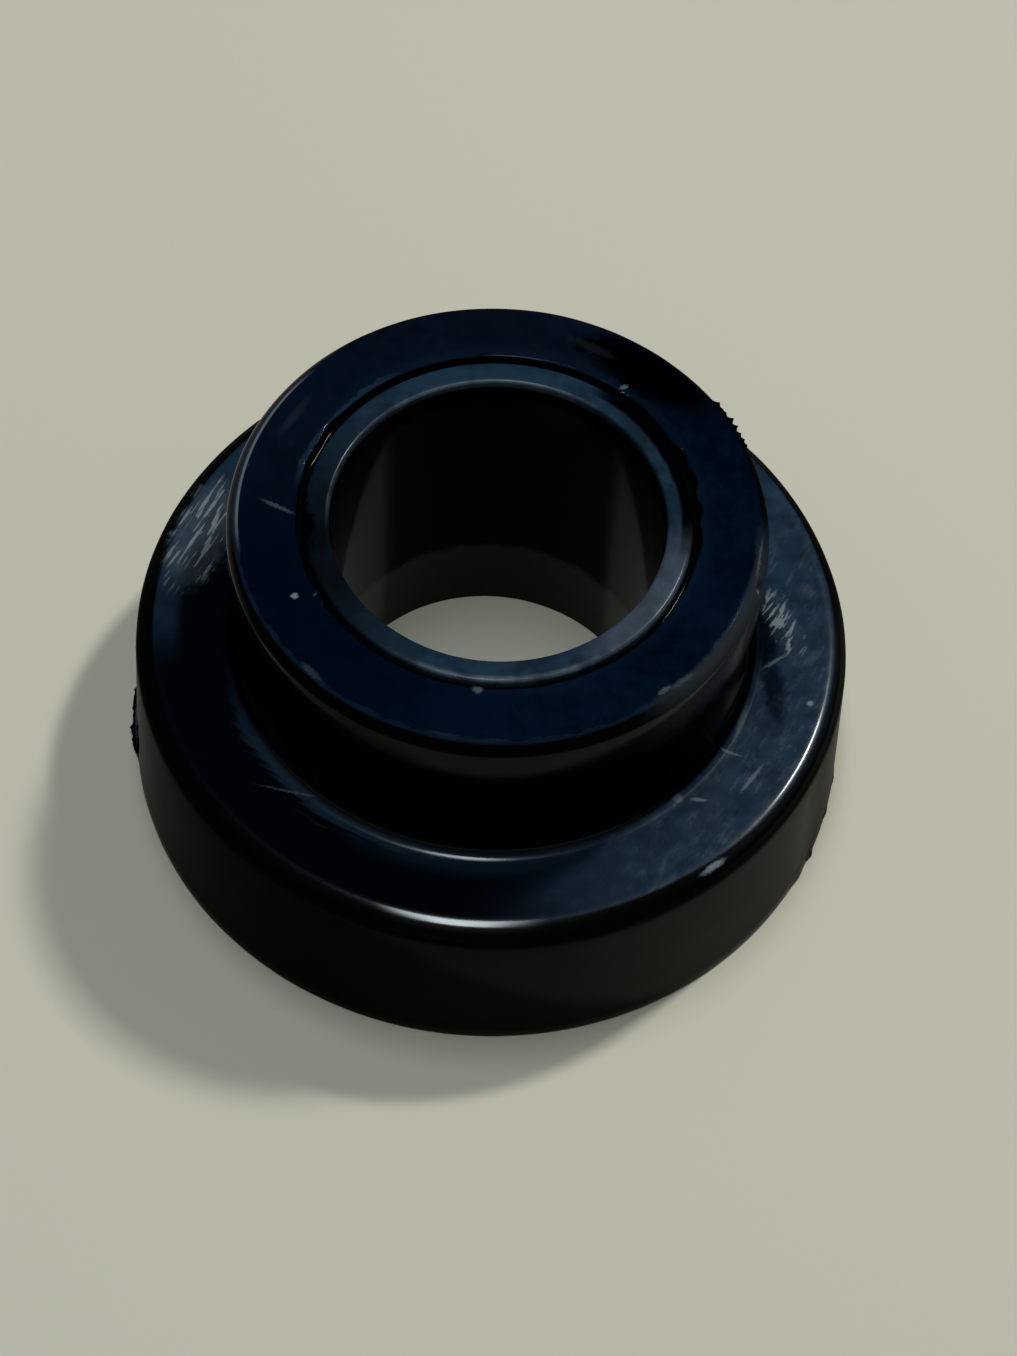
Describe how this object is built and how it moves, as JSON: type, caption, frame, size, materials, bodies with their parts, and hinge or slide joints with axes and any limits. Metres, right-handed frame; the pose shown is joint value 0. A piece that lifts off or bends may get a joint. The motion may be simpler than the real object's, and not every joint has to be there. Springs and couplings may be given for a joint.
{
  "type": "sway bar link bushing",
  "caption": "Moulded rubber bushing with a round flange, a smaller hub, a straight through bore and a sealing lip around the bore's mouth.",
  "frame": {"origin": "centre of the flange's open face, on the bore's axis", "axes": "+Z along the bore, from the flange's open face towards the hub's end face; X and Y are free, because the bushing is round"},
  "size_m": [0.05, 0.05, 0.026],
  "materials": {
    "rubber": "black moulded rubber, satin, with scuffs and mould flash"
  },
  "bodies": {
    "root": {"bushing": "rubber"}
  },
  "joints": []
}
